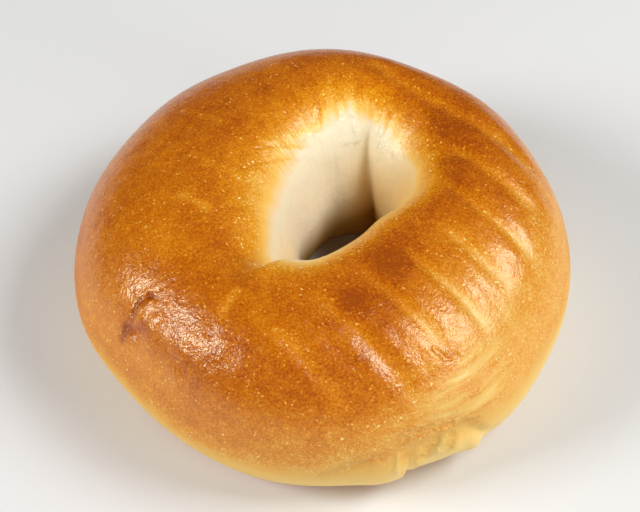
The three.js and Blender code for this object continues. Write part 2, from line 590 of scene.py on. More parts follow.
class Signal:
    """A shader socket that takes part in Python arithmetic."""

    def __init__(self, graph: Graph, socket: bpy.types.NodeSocket | None) -> None:
        """Wrap a socket of a graph's node, or nothing where the node has no output."""
        self.graph = graph
        self.socket = socket

    def _math(self, operation: str, other: Number = 0.0) -> Signal:
        """Add a Math node that takes this signal and another value."""
        return self.graph.node("ShaderNodeMath", {"operation": operation}, {0: self, 1: other})

    def __add__(self, other: Number) -> Signal:
        """Add a number or a signal."""
        return self._math("ADD", other)

    __radd__ = __add__

    def __sub__(self, other: Number) -> Signal:
        """Take away a number or a signal."""
        return self._math("SUBTRACT", other)

    def __mul__(self, other: Number) -> Signal:
        """Multiply by a number or a signal."""
        return self._math("MULTIPLY", other)

    def __abs__(self) -> Signal:
        """Take the size without the sign."""
        return self._math("ABSOLUTE")

    def or_less(self, other: Number) -> Signal:
        """Take the smaller one of this and another value."""
        return self._math("MINIMUM", other)

    def between(self, low: float, high: float) -> Signal:
        """Rise smoothly from 0 at low to 1 at high, or fall where low is the larger.

        Args:
            low: The value that gives 0.
            high: The value that gives 1.

        Returns:
            The mapped signal, from 0 to 1.
        """
        ends = {3: 0.0, 4: 1.0} if low < high else {3: 1.0, 4: 0.0}
        values = {"Value": self, 1: min(low, high), 2: max(low, high), **ends}
        return self.graph.node("ShaderNodeMapRange", {"interpolation_type": "SMOOTHSTEP"}, values)


Number = Union[Signal, float]


class Graph:
    """A material's node tree, filled by expressions."""

    def __init__(self, name: str) -> None:
        """Start a material with an empty tree.

        Args:
            name: The material's name.
        """
        self.material = bpy.data.materials.new(name)
        self.material.use_nodes = True
        self.tree = self.material.node_tree
        self.tree.nodes.clear()

    def node(
        self,
        kind: str,
        settings: dict[str, Any] | None = None,
        values: dict[Union[int, str], Any] | None = None,
        output: Union[int, str] = 0,
    ) -> Signal:
        """Add one node.

        Args:
            kind: The node's type.
            settings: Its own settings, set before its sockets. A ramp's stops go under "stops".
            values: A number, a colour or a signal for each of its sockets.
            output: The socket that the result reads.

        Returns:
            The chosen output as a signal.
        """
        made = self.tree.nodes.new(kind)
        for name, setting in (settings or {}).items():
            if name == "stops":
                self._set_stops(made.color_ramp, setting)
            else:
                setattr(made, name, setting)
        for name, value in (values or {}).items():
            if isinstance(value, Signal):
                self.tree.links.new(value.socket, made.inputs[name])
            else:
                made.inputs[name].default_value = value
        return Signal(self, made.outputs[output] if made.outputs else None)

    @staticmethod
    def _set_stops(made: bpy.types.ColorRamp, stops: Sequence[tuple[float, Triple]]) -> None:
        """Give a colour ramp its stops.

        Args:
            made: The new ramp.
            stops: A place from 0 to 1 and a linear colour for each stop.
        """
        while len(made.elements) < len(stops):
            made.elements.new(0.5)
        for element, (place, colour) in zip(made.elements, stops):
            element.position = place
            element.color = (*colour, 1.0)

    def vector_math(
        self, operation: str, values: dict[Union[int, str], Any], output: Union[int, str] = 0
    ) -> Signal:
        """Add a Vector Math node with those values on its sockets."""
        return self.node("ShaderNodeVectorMath", {"operation": operation}, values, output)

    def attribute(self, name: str) -> Signal:
        """Read a number that the skin carries."""
        return self.node("ShaderNodeAttribute", {"attribute_name": name}, output="Fac")

    def mix(self, share: Number, first: Any, second: Any, blend: str = "MIX") -> Signal:
        """Mix two colours by a share of the second."""
        settings = {"data_type": "RGBA", "blend_type": blend}
        return self.node("ShaderNodeMix", settings, {0: share, 6: first, 7: second}, output=2)

    def noise(self, place: Signal, size: float, detail: float = 2.0, rough: float = 0.5) -> Signal:
        """Sample a noise whose forms are about that many millimetres wide, from 0 to 1."""
        values = {"Vector": place, "Scale": 1.0 / size, "Detail": detail, "Roughness": rough}
        return self.node("ShaderNodeTexNoise", None, values)

    def creased(self, place: Signal, size: float, sharpness: float) -> Signal:
        """Sample creases about that many millimetres apart: 0 in each, and up to sharpness beside."""
        return abs(self.noise(place, size, 1.0) * 2.0 - 1.0) * sharpness

    def cells(self, place: Signal, size: float) -> Signal:
        """Measure how far each place is from the nearest of points about size millimetres apart."""
        values = {"Vector": place, "Scale": 1.0 / size}
        return self.node("ShaderNodeTexVoronoi", None, values, output="Distance")

    def bend(self, place: Signal, size: float, reach: float) -> Signal:
        """Shift places by a noise, so that a pattern on them wanders.

        Args:
            place: The places.
            size: How wide the noise's forms are, in millimetres.
            reach: How far a place is shifted at most.

        Returns:
            The shifted places.
        """
        values = {"Vector": place, "Scale": 1.0 / size}
        wander = self.node("ShaderNodeTexNoise", None, values, output="Color")
        centred = self.vector_math("SUBTRACT", {0: wander, 1: (0.5, 0.5, 0.5)})
        scaled = self.vector_math("SCALE", {0: centred, "Scale": 2.0 * reach})
        return self.vector_math("ADD", {0: place, 1: scaled})

    def from_line(self, place: Signal, points: Sequence[Triple]) -> Signal:
        """Measure how far each place is from a broken line, in the places' own unit."""
        distances = [self._from_run(place, *ends) for ends in zip(points, points[1:])]
        return reduce(Signal.or_less, distances)

    def _from_run(self, place: Signal, start: Triple, end: Triple) -> Signal:
        """Measure how far each place is from one straight run.

        Args:
            place: The places.
            start: Where the run starts.
            end: Where it ends.

        Returns:
            The distances.
        """
        run = Vector(end) - Vector(start)
        away = self.vector_math("SUBTRACT", {0: place, 1: start})
        share = self.vector_math("DOT_PRODUCT", {0: away, 1: run / run.length_squared}, "Value")
        share = self.node("ShaderNodeClamp", None, {"Value": share})
        foot = self.vector_math("SCALE", {0: run, "Scale": share})
        return self.vector_math("DISTANCE", {0: away, 1: foot}, "Value")

    def stretch(self, place: Signal, factors: Triple) -> Signal:
        """Multiply places, so that a pattern on them is drawn out where a factor is small."""
        return self.vector_math("MULTIPLY", {0: place, 1: factors})


def srgb(red: int, green: int, blue: int) -> Triple:
    """Turn a display colour into linear light.

    Args:
        red: The red channel, from 0 to 255.
        green: The green channel.
        blue: The blue channel.

    Returns:
        The three channels, from 0 to 1.
    """

    def linear(value: int) -> float:
        """Turn one channel into linear light."""
        share = value / 255.0
        return share / 12.92 if share <= 0.04045 else ((share + 0.055) / 1.055) ** 2.4

    return linear(red), linear(green), linear(blue)


# ---- The finish of the crust ----


class Bake(Enum):
    """How far the dough is baked: its place on the scale, and its colour outside and in the hole."""

    CREAM = (0.0, srgb(243, 219, 150), srgb(247, 238, 208))
    STRAW = (0.2, srgb(234, 187, 94), srgb(249, 200, 96))
    GOLD = (0.4, srgb(223, 146, 34), srgb(230, 152, 12))
    AMBER = (0.6, srgb(208, 121, 6), srgb(213, 126, 2))
    BROWN = (0.8, srgb(188, 97, 0), srgb(190, 98, 0))
    DARK = (1.0, srgb(158, 70, 0), srgb(158, 70, 0))

    def __init__(self, place: float, outside: Triple, inside: Triple) -> None:
        """Keep the three under names.

        Args:
            place: Its place on the scale, from 0 for cream to 1 for dark brown.
            outside: The colour on the outer wall and the crown.
            inside: The colour in the hole.
        """
        self.place = place
        self.outside = outside
        self.inside = inside


@dataclass(frozen=True)
class SkinLine:
    """A fine line in the skin: its run, how wide and deep it is and what it adds to the bake.
    Along the folds that bake browns the creases as painted shade and pales the raised ridges as
    painted light.
    """

    points: Sequence[Triple]
    width: float
    depth: float
    bake: float


@dataclass(frozen=True)
class NoiseLayer:
    """A layer of noise: how wide its forms are, how detailed and rough it is and its strength."""

    size: float
    detail: float
    rough: float
    strength: float

    def over(self, graph: Graph, place: Signal) -> Signal:
        """Sample the layer, from 0 to its strength."""
        return graph.noise(place, self.size, self.detail, self.rough) * self.strength

    def swing(self, graph: Graph, place: Signal) -> Signal:
        """Sample the layer about 0, by up to half its strength either way."""
        return (graph.noise(place, self.size, self.detail, self.rough) - 0.5) * self.strength


@dataclass(frozen=True)
class SpeckLayer:
    """Pale specks of one size that gather in patches, both with a soft edge."""

    spacing: float
    speck: Pair
    patch_size: float
    patch: Pair
    strength: float

    def over(self, graph: Graph, place: Signal, loose: Signal) -> Signal:
        """Sample the layer.

        Args:
            graph: The material's nodes.
            place: Where the patches are sampled.
            loose: The same places, shifted a little, where the specks are sampled.

        Returns:
            The layer's strength on each speck and 0 between them.
        """
        specks = graph.cells(loose, self.spacing).between(*self.speck)
        patches = graph.noise(place, self.patch_size).between(*self.patch)
        return specks * patches * self.strength


@dataclass(frozen=True)
class CrustFinish:
    """The glossy boiled skin: its colour by bake, its fine grain and its shine."""

    name: str = "bagel_crust"
    roughness: float = 0.26
    patchy_shine: NoiseLayer = NoiseLayer(2.5, 2.0, 0.5, 0.10)
    pale_dullness: float = 0.12
    pale_bake: Pair = (0.7, 0.2)
    low_dullness: float = 0.25
    low_heights: Pair = (34.0, 20.0)
    specular: float = 0.72
    tint: Triple = (1.0, 1.0, 0.78)
    subsurface: float = 0.08
    subsurface_reach: Triple = (2.0, 1.0, 0.5)
    # The colour that the painted shade deep in the hole multiplies in.
    hole_shade_colour: Triple = srgb(188, 160, 92)

    mottled_bake: Pair = (0.15, 0.5)
    mottle: Sequence[NoiseLayer] = (
        NoiseLayer(7.0, 2.0, 0.6, 0.35),
        NoiseLayer(2.4, 2.0, 0.5, 0.28),
        NoiseLayer(0.5, 1.0, 0.7, 0.78),
    )
    specks: Sequence[SpeckLayer] = (
        SpeckLayer(1.7, (0.24, 0.08), 3.5, (0.42, 0.56), 1.0),
        SpeckLayer(0.9, (0.30, 0.10), 2.2, (0.42, 0.60), 0.8),
    )
    speck_bend: Pair = (2.0, 0.5)
    speck_paleness: float = 0.45
    speck_height: float = 0.05

    relief: Sequence[NoiseLayer] = (
        NoiseLayer(0.5, 2.0, 0.6, 0.02),
        NoiseLayer(1.3, 2.0, 0.5, 0.058),
        NoiseLayer(4.5, 2.0, 0.5, 0.32),
    )
    crease_bend: Pair = (2.0, 0.8)
    crease_size: float = 1.0
    crease_sharpness: float = 3.0
    crease_height: float = 0.02
    wrinkle_height: float = 0.032

    hole: Pair = DoughRing.hole
    spoke_radius: float = 14.0
    spoke_stretch: Triple = (0.06, 0.06, 0.12)
    streaks: NoiseLayer = NoiseLayer(2.0, 3.0, 0.6, 0.45)
    pleats: NoiseLayer = NoiseLayer(1.1, 2.0, 0.5, 0.40)
    drawn_stretch: Triple = (0.16, 0.16, 1.0)
    drawn_streaks: NoiseLayer = NoiseLayer(1.6, 2.0, 0.5, 0.7)
    drawn_ridges: NoiseLayer = NoiseLayer(1.6, 2.0, 0.5, 0.6)

    line_bend: Pair = (1.5, 0.25)
    line_break_size: float = 2.2
    line_breaks: Pair = (0.3, 0.6)
    line_rest: float = 0.3
    # The creases here are browned, partly the crust's own amber and partly painted shade, and the
    # raised ridges are paled as painted highlight.
    rim_folds: Sequence[SkinLine] = (
        SkinLine(((-13.6, 14.6, 40.6), (-8.4, 17.7, 38.4), (-2.8, 20.9, 36.1)), 2.6, -0.15, -0.1),
        SkinLine(((-10.0, 14.1, 38.3), (-5.1, 16.7, 35.1), (-2.3, 17.4, 32.7)), 2.2, -0.15, -0.1),
        SkinLine(((-14.9, 12.5, 40.9), (-10.6, 15.2, 39.0), (-3.9, 18.3, 35.1)), 0.8, 0.12, 0.1),
        SkinLine(((-14.4, 8.9, 40.2), (-11.3, 10.9, 38.4), (-6.8, 14.6, 35.7)), 0.7, 0.1, 0.08),
        SkinLine(((-0.9, 26.3, 38.8), (-0.9, 24.6, 37.7), (-0.7, 22.8, 36.3)), 1.4, 0.2, 0.1),
        SkinLine(((3.4, 27.8, 38.8), (4.1, 25.4, 36.9), (5.2, 22.4, 33.4)), 1.8, -0.3, -0.1),
        SkinLine(((6.4, 28.8, 39.1), (7.1, 25.7, 36.6), (8.0, 23.0, 32.8)), 1.6, -0.3, -0.1),
        SkinLine(((14.2, 24.7, 36.9), (13.5, 22.7, 34.8), (12.8, 21.4, 32.8)), 1.4, -0.25, -0.1),
    )
    # The arc's bake browns the shadow side of the knot's dome as painted shade.
    knot_folds: Sequence[SkinLine] = (
        SkinLine(
            (
                (-43.1, -30.4, 26.7),
                (-41.9, -30.0, 29.4),
                (-40.2, -28.7, 33.3),
                (-38.7, -27.1, 35.7),
                (-36.6, -26.7, 37.2),
            ),
            width=1.5,
            depth=0.5,
            bake=0.3,
        ),
        SkinLine(((-36.6, -26.7, 37.2), (-35.1, -27.8, 37.6)), 1.2, 0.2, 0.2),
        SkinLine(((-34.8, -26.3, 38.3), (-32.8, -25.5, 39.4), (-31.6, -25.1, 40.0)), 1.0, 0.12, 0.05),
    )
    pit_folds: Sequence[SkinLine] = (
        SkinLine(((23.3, -40.2, 36.2), (25.8, -41.3, 34.4), (27.8, -40.2, 34.2)), 1.3, 0.3, 0.08),
    )
    # The hollow and the folds of the tuck are browned as painted shade, and the two raised ridges are
    # paled as painted light.
    tuck_folds: Sequence[SkinLine] = (
        SkinLine(
            ((16.5, -53.5, 22.2), (21.3, -51.6, 23.0), (26.7, -49.3, 22.9), (32.2, -46.6, 20.6)),
            width=3.2,
            depth=0.5,
            bake=0.08,
        ),
        SkinLine(((17.5, -53.4, 16.0), (17.6, -53.5, 10.0)), 2.0, 0.4, 0.06),
        SkinLine(((20.4, -52.1, 14.0), (19.8, -50.9, 8.1)), 1.7, 0.3, 0.05),
        SkinLine(((23.6, -49.9, 18.2), (21.6, -51.3, 13.9)), 2.4, 0.5, 0.06),
        SkinLine(((27.6, -48.7, 17.1), (27.0, -49.6, 14.5)), 2.0, 0.4, 0.05),
        SkinLine(((15.8, -53.8, 17.3), (15.8, -54.5, 12.2)), 1.5, -0.3, -0.05),
        SkinLine(((25.8, -49.4, 17.4), (24.6, -50.3, 13.5)), 1.6, -0.4, -0.05),
    )
    # The fold at the foot is browned a little along its crease as painted shade, and its raised ridge
    # is paled as painted light.
    foot_folds: Sequence[SkinLine] = (
        SkinLine(
            ((12.0, -55.1, 18.4), (6.6, -56.1, 16.8), (3.0, -56.3, 14.8), (0.2, -56.3, 13.2)),
            width=2.4,
            depth=0.3,
            bake=0.02,
        ),
        SkinLine(((10.5, -55.6, 20.8), (5.5, -56.0, 19.0), (1.0, -56.2, 16.4)), 2.6, -0.3, -0.05),
    )
    scuffs: Sequence[SkinLine] = (
        SkinLine(((-18.2, -29.2, 42.0), (-20.8, -34.0, 40.9)), 2.0, 0.05, -0.4),
        SkinLine(((-14.1, -35.1, 41.7), (-8.3, -40.6, 40.0)), 2.0, 0.15, -0.15),
        SkinLine(((-30.2, -2.8, 42.6), (-24.8, -6.9, 42.9)), 2.0, 0.05, -0.22),
        SkinLine(((-28.2, 9.9, 42.3), (-24.7, 6.4, 42.8)), 1.8, 0.05, -0.18),
        SkinLine(((-31.5, 26.1, 39.4), (-23.5, 20.1, 41.8)), 1.8, 0.05, -0.15),
    )

    def build(self) -> bpy.types.Material:
        """Make the material.

        Returns:
            The material, which reads what the skin carries.
        """
        graph = Graph(self.name)
        metres = graph.node("ShaderNodeTexCoord", output="Object")
        place = graph.stretch(metres, (1 / MM, 1 / MM, 1 / MM))
        spokes = self._spokes(graph, place)
        drawn = graph.stretch(place, self.drawn_stretch)
        loose = graph.bend(place, *self.speck_bend)
        specks = sum(layer.over(graph, place, loose) for layer in self.specks)
        lines = self._lines(graph, place)

        own = graph.attribute("bake")
        own = own + graph.attribute("fray") * self.streaks.swing(graph, spokes)
        own = own + graph.attribute("drawn") * self.drawn_streaks.swing(graph, drawn)
        # The folds brown their creases as painted shade and pale their ridges as painted light; the
        # scuffs pale the dough.
        own = own + sum(near * line.bake for line, near in lines)
        bake = self._mottled(graph, place, own, specks)

        height = self._relief(graph, place) + specks * self.speck_height
        height = height + graph.attribute("pleat") * self.pleats.over(graph, spokes)
        height = height + graph.attribute("drawn") * self.drawn_ridges.over(graph, drawn)
        height = height - sum(near * line.depth for line, near in lines)
        bump = {"Strength": 1.0, "Distance": MM, "Height": height}
        shader = graph.node(
            "ShaderNodeBsdfPrincipled",
            None,
            {
                "Base Color": self._colour(graph, bake),
                "Roughness": self._roughness(graph, place, bake),
                "Normal": graph.node("ShaderNodeBump", None, bump),
                "Specular IOR Level": self.specular,
                "Specular Tint": (*self.tint, 1.0),
                "Subsurface Weight": self.subsurface,
                "Subsurface Radius": self.subsurface_reach,
                "Subsurface Scale": MM,
            },
        )
        graph.node("ShaderNodeOutputMaterial", None, {"Surface": shader})
        return graph.material

    def _lines(self, graph: Graph, place: Signal) -> list[tuple[SkinLine, Signal]]:
        """Draw the fine lines, which wander and fade a little on their way.

        Args:
            graph: The material's nodes.
            place: The skin's places in millimetres.

        Returns:
            Each line with how near the skin is to it, from 0 to 1.
        """
        wandering = graph.bend(place, *self.line_bend)
        broken = graph.noise(place, self.line_break_size).between(*self.line_breaks)
        broken = broken * (1.0 - self.line_rest) + self.line_rest
        folds = (*self.rim_folds, *self.knot_folds, *self.pit_folds)
        folds = (*folds, *self.tuck_folds, *self.foot_folds)
        return [
            (line, graph.from_line(wandering, line.points).between(line.width, 0.0) * broken)
            for line in (*folds, *self.scuffs)
        ]

    def _mottled(self, graph: Graph, place: Signal, own: Signal, specks: Signal) -> Signal:
        """Break up the bake of the browned crust."""
        mottle = sum(layer.swing(graph, place) for layer in self.mottle)
        return own + own.between(*self.mottled_bake) * (mottle - specks * self.speck_paleness)

    def _colour(self, graph: Graph, bake: Signal) -> Signal:
        """Give the colour of each place.

        Args:
            graph: The material's nodes.
            bake: How far each place is baked.

        Returns:
            The colour: yellower in the hole, and darkened deep in it by painted shade.
        """
        outside = [(stop.place, stop.outside) for stop in Bake]
        inside = [(stop.place, stop.inside) for stop in Bake]
        outer, inner = (
            graph.node("ShaderNodeValToRGB", {"stops": stops}, {"Fac": bake})
            for stops in (outside, inside)
        )
        colour = graph.mix(graph.attribute("inner"), outer, inner)
        # Painted shade: the colour is multiplied darker deep in the hole.
        return graph.mix(graph.attribute("deep"), colour, (*self.hole_shade_colour, 1.0), "MULTIPLY")

    def _relief(self, graph: Graph, place: Signal) -> Signal:
        """Give the fine relief of the whole skin.

        Args:
            graph: The material's nodes.
            place: The skin's places in millimetres.

        Returns:
            Heights in millimetres.
        """
        waves = sum(layer.over(graph, place) for layer in self.relief)
        bent = graph.bend(place, *self.crease_bend)
        creases = graph.creased(bent, self.crease_size, self.crease_sharpness)
        wrinkled = graph.attribute("wrinkle") * self.wrinkle_height + self.crease_height
        return waves + creases * wrinkled

    def _spokes(self, graph: Graph, place: Signal) -> Signal:
        """Give places on which a pattern runs out of the hole like spokes.

        Args:
            graph: The material's nodes.
            place: The skin's places in millimetres.

        Returns:
            The places to sample a pattern at.
        """
        from_hole = graph.vector_math("SUBTRACT", {0: place, 1: (*self.hole, 0.0)})
        flat = graph.stretch(from_hole, (1.0, 1.0, 0.0))
        heading = graph.vector_math("NORMALIZE", {0: flat})
        around = graph.stretch(heading, (self.spoke_radius, self.spoke_radius, 0.0))
        along = graph.stretch(place, self.spoke_stretch)
        return graph.vector_math("ADD", {0: around, 1: along})

    def _roughness(self, graph: Graph, place: Signal, bake: Signal) -> Signal:
        """Give the roughness: the crust shines, the pale dough and the lower wall less so.

        Args:
            graph: The material's nodes.
            place: The skin's places in millimetres.
            bake: How far each place is baked.

        Returns:
            The roughness of each place.
        """
        height = graph.node("ShaderNodeSeparateXYZ", None, {0: place}, output="Z")
        pale = bake.between(*self.pale_bake) * self.pale_dullness
        low = height.between(*self.low_heights) * self.low_dullness
        return self.patchy_shine.swing(graph, place) + pale + low + self.roughness


# ---- What the skin carries for its finish ----


@dataclass(frozen=True)
class Skin:
    """The skin's points and, for each of them, where it lies and how far in a wire's groove.

    Its direction round the ring is in radians, and its place across the section in degrees.
    """

    points: Array
    around: Array
    inward: Array
    grooves: Array

    def before_base(self) -> Array:
        """Tell which points come before the middle of the base, counted inwards."""
        return self.inward < BASE

    def between(self, start: float, end: float) -> Array:
        """Rise from 0 at one height to 1 at another, or fall where start is the larger."""
        return ramp(start, end, self.points[:, 2])


@dataclass(frozen=True)
class HoleShade:
    """A browner part of the hole's wall, painted shade where that wall lies in shadow, which fades in
    from one height to another.

    The default heights lie under the base, so that the part is there at every height.
    """

    side: Bulge
    heights: Pair = (-2.0, -1.0)

    def over(self, skin: Skin) -> Array:
        """Give what the part adds to the bake at each point."""
        return self.side.over(skin.around) * skin.between(*self.heights)


@dataclass(frozen=True)
class CrustMap:
    """How the crust changes over the skin, in numbers that the finish reads by name."""

    unevenness: Clouds = Clouds(14.0, 3.0, 2)
    wall_bake: RingValues = RingValues((
        (0, 0.37), (30, 0.40), (60, 0.55), (105, 0.62), (150, 0.65), (180, 0.67), (210, 0.54),
        (240, 0.60), (268, 0.41), (285, 0.34), (300, 0.26), (320, 0.33), (342, 0.35),
    ))
    browned_height: RingValues = RingValues((
        (0, 38.5), (30, 37.5), (60, 36.5), (105, 36), (150, 35), (180, 35), (210, 34),
        (240, 29), (268, 26.5), (285, 31), (300, 38.5), (320, 41), (342, 40),
    ))
    browning: Pair = (-8.0, 8.0)
    browning_waves: float = 1.5
    foot_share: float = 0.3
    foot_fade: Pair = (8.0, 21.0)
    foot_raised: Bulge = Bulge(0, 40, 5.0)

    crown_bake: float = 0.8
    crown_edge: Pair = (-12.0, 4.0)
    crown_band: float = 0.06
    crown_band_width: float = 16.0
    crown_band_sector: Sector = Sector(350, 95, 60)
    crown_mottle: float = 0.05
    crown_mottle_heights: Pair = (30.0, 38.0)
    groove_paleness: float = 0.19
    # The two spots at the knot's cavity, under its fold, darken it partly as painted shade.
    patches: Sequence[Spot] = (
        Spot((27.5, 19.2, 41), 6.0, 0.11),
        Spot((28.1, 8.5, 41), 5.0, 0.14),
        Spot((16.9, -19.8, 42), 5.5, 0.25),
        Spot((6.9, -31.0, 41), 3.6, 0.22),
        Spot((-31.0, -4.0, 41), 15.0, -0.1),
        Spot((-33.0, -15.0, 41.8), 5.0, -0.14),
        Spot((-41.4, -29.8, 29.8), 2.4, 0.3),
        Spot((-38.4, -31.7, 32.9), 1.8, 0.45),
        Spot((26.5, -39.9, 35.0), 2.4, 0.2),
    )

    fade_start: RingValues = RingValues((
        (0, 6), (15, 14), (40, 18), (65, 8), (85, -8), (130, -2), (190, -2), (215, -2),
        (228, -8), (265, -2), (320, 0), (345, 4),
    ))
    fade_end: RingValues = RingValues((
        (0, 44), (15, 47), (40, 48), (65, 42), (85, 35), (130, 47), (190, 53), (215, 44),
        (228, 36), (265, 30), (320, 34), (345, 40),
    ))
    fade_power: float = 1.2
    # Painted shade in the hole: the right wall, the crease and the near wall are browned where they
    # lie in shade.
    hole_shading: Sequence[HoleShade] = (
        HoleShade(Bulge(0, 40, 0.15)),
        HoleShade(Bulge(58, 18, 0.1), (33, 20)),
        HoleShade(Bulge(292, 38, 0.3)),
        HoleShade(Bulge(290, 40, 0.5), (34, 28)),
    )
    base_bake: float = 0.6
    base_heights: Pair = (4.0, 1.0)

    fray_least: float = 0.3
    fray_sector: Sector = Sector(95, 80, 40)
    fray: Band = Band((0.05, 0.5), (1.0, 0.85))
    yellow: Band = Band((-15.0, 15.0), (180.0, 125.0))
    plain_side: Bulge = Bulge(290, 50, 0.4)
    # Painted shade deep in the hole: it grows inwards between these places, lower down the wall and
    # more on the right wall.
    deep: Pair = (26.0, 70.0)
    hole_shade_heights: Pair = (20.0, 8.0)
    hole_shade_side: Bulge = Bulge(32, 38, 0.6)
    wrinkled: Sequence[Spot] = (
        Spot((-39.5, -22.5, 37.0), 4.5, 0.8),
        Spot((-33.5, -30.5, 36.5), 4.0, 1.0),
        Spot((-28.5, -36.5, 36.0), 5.0, 1.0),
        Spot((-22.0, -41.0, 36.0), 4.0, 1.0),
        Spot((19.0, -44.5, 34.5), 5.0, 0.7),
        Spot((28.0, -34.0, 37.0), 6.0, 0.6),
    )
    drawn_side: Bulge = Bulge(302, 18, 1.0)
    drawn_heights: Band = Band((19.0, 25.0), (38.0, 32.0))
    pleat_sector: Sector = Sector(100, 65, 35)
    pleats: Band = Band((12.0, 28.0), (82.0, 50.0))

    def over(self, skin: Skin) -> dict[str, Array]:
        """Give every number that the skin carries.

        Args:
            skin: The skin's points.

        Returns:
            One number per point under each name.
        """
        fading = self._fading(skin) * skin.before_base()
        return {
            "bake": self._bake(skin, fading),
            "fray": self._frayed(skin) * self.fray.over(fading),
            "inner": self._inner(skin),
            # deep: the painted shade deep in the hole.
            "deep": self._hole_shade(skin),
            "wrinkle": self.wrinkle(skin.points),
            "drawn": self._drawn(skin),
            "pleat": self.pleat_sector.over(skin.around) * self.pleats.over(skin.inward),
        }

    def wrinkle(self, points: Array) -> Array:
        """Give how finely crinkled the skin is at each point, from 0 to 1."""
        return np.minimum(sum(spot.over(points) for spot in self.wrinkled), 1.0)

    def _fading(self, skin: Skin) -> Array:
        """Give how far the crust has faded on its way into the hole, 1 where it is wholly pale."""
        start, end = self.fade_start.over(skin.around), self.fade_end.over(skin.around)
        return np.clip((skin.inward - start) / (end - start), 0.0, 1.0)

    def _bake(self, skin: Skin, fading: Array) -> Array:
        """Give how far each point is baked, with painted shade browning parts of the hole's wall.

        Args:
            skin: The skin's points.
            fading: How far the crust has faded there on its way into the hole.

        Returns:
            The bake, from 0 for cream to 1 for dark brown.
        """
        soft = self.unevenness.over(skin.points)
        crust = self._crown(skin, self._wall(skin, soft), soft)
        crust = crust - self.groove_paleness * skin.grooves
        # The painted shade of the hole's walls takes over as the crust fades into the hole.
        inside = sum(part.over(skin) for part in self.hole_shading)
        bake = crust * (1.0 - fading**self.fade_power) + inside * fading
        base = np.where(skin.inward > THROAT, skin.between(*self.base_heights), 0.0)
        return np.clip(bake + (self.base_bake - bake) * base, 0.0, 1.0)

    def _wall(self, skin: Skin, soft: Array) -> Array:
        """Give the bake of the outer wall, pale at its foot and browned towards the crown.

        Args:
            skin: The skin's points.
            soft: A soft noise at each of them.

        Returns:
            The bake at each point.
        """
        z = skin.points[:, 2]
        foot = ramp(*self.foot_fade, z - self.foot_raised.over(skin.around))
        wall = self.wall_bake.over(skin.around)
        wall = wall * (self.foot_share + (1.0 - self.foot_share) * foot)
        above = z - self.browned_height.over(skin.around) - self.browning_waves * soft
        return wall + (self.crown_bake - wall) * ramp(*self.browning, above)

    def _crown(self, skin: Skin, wall: Array, soft: Array) -> Array:
        """Brown the crown and its patches.

        Args:
            skin: The skin's points.
            wall: The bake of the outer wall at each of them.
            soft: A soft noise there.

        Returns:
            The bake of the wall and the crown.
        """
        crown = ramp(*self.crown_edge, skin.inward) * skin.before_base()
        band = self.crown_band * bell(skin.inward / self.crown_band_width)
        band = band * self.crown_band_sector.over(skin.around)
        mottle = self.crown_mottle * soft * skin.between(*self.crown_mottle_heights)
        patches = sum(patch.over(skin.points) for patch in self.patches)
        return wall + (self.crown_bake - wall) * crown + band + mottle + patches

    def _frayed(self, skin: Skin) -> Array:
        """Give how far a fading crust would be frayed into strands at each point."""
        return self.fray_least + (1.0 - self.fray_least) * self.fray_sector.over(skin.around)

    def _inner(self, skin: Skin) -> Array:
        """Give how far each point takes the colours of the hole, from 0 to 1."""
        return self.yellow.over(skin.inward) * (1.0 - self.plain_side.over(skin.around))

    def _hole_shade(self, skin: Skin) -> Array:
        """Give how far painted shade darkens each point deep in the hole, from 0 to 1."""
        shaded = skin.between(*self.hole_shade_heights) + self.hole_shade_side.over(skin.around)
        return np.minimum(ramp(*self.deep, skin.inward) * shaded, 1.0) * skin.before_base()

    def _drawn(self, skin: Skin) -> Array:
        """Give how far the skin is drawn out round the lower wall at each point, from 0 to 1."""
        side = self.drawn_side.over(direction(skin.points))
        return side * self.drawn_heights.over(skin.points[:, 2])


# ---- The bagel ----


